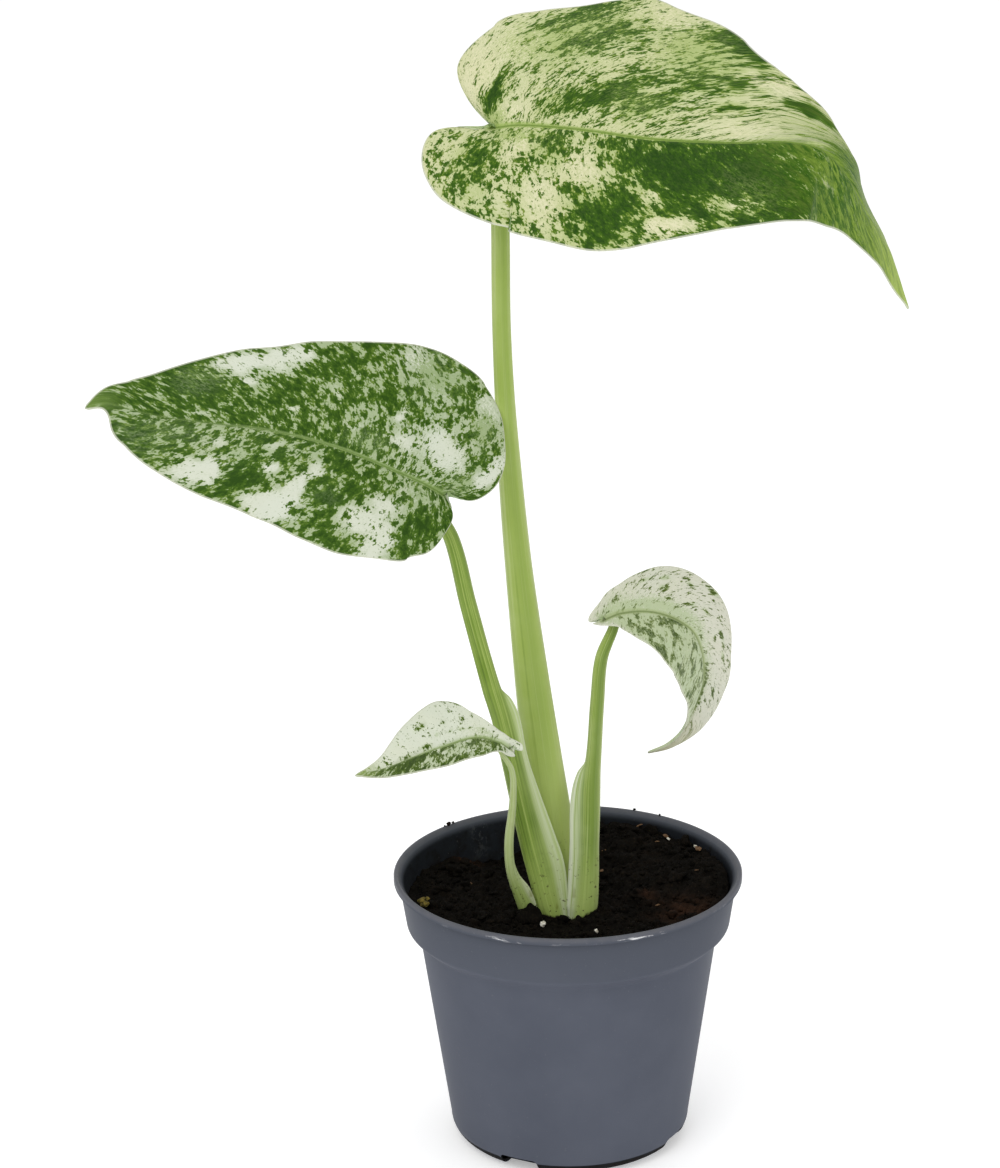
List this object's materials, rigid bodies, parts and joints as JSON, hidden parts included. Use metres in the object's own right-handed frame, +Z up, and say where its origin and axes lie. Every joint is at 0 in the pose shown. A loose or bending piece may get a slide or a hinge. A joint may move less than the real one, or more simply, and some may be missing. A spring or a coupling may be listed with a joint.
{
  "type": "potted monstera",
  "caption": "Young monstera with waved, variegated heart-shaped leaves on tall stalks, rooted in soil in a tapered plastic nursery pot.",
  "frame": {"origin": "middle of the pot's flat bottom", "axes": "+Z up, -Y towards the plant's front, +X towards the side that the tallest leaf points to"},
  "size_m": [0.2675, 0.1354, 0.3961],
  "materials": {
    "pot_plastic": "satin grey",
    "soil": "damp dark crumbs",
    "root": "rough",
    "stalk": "satin",
    "leaf": "satin, green marbled with cream"
  },
  "bodies": {
    "root": {"pot": "pot_plastic", "soil": "soil", "stem_base": "root", "petiole_tall": "stalk", "petiole_left": "stalk", "petiole_right": "stalk", "petiole_low": "stalk", "blade_tall": "leaf", "blade_left": "leaf", "blade_right": "leaf", "blade_low": "leaf"}
  },
  "joints": []
}
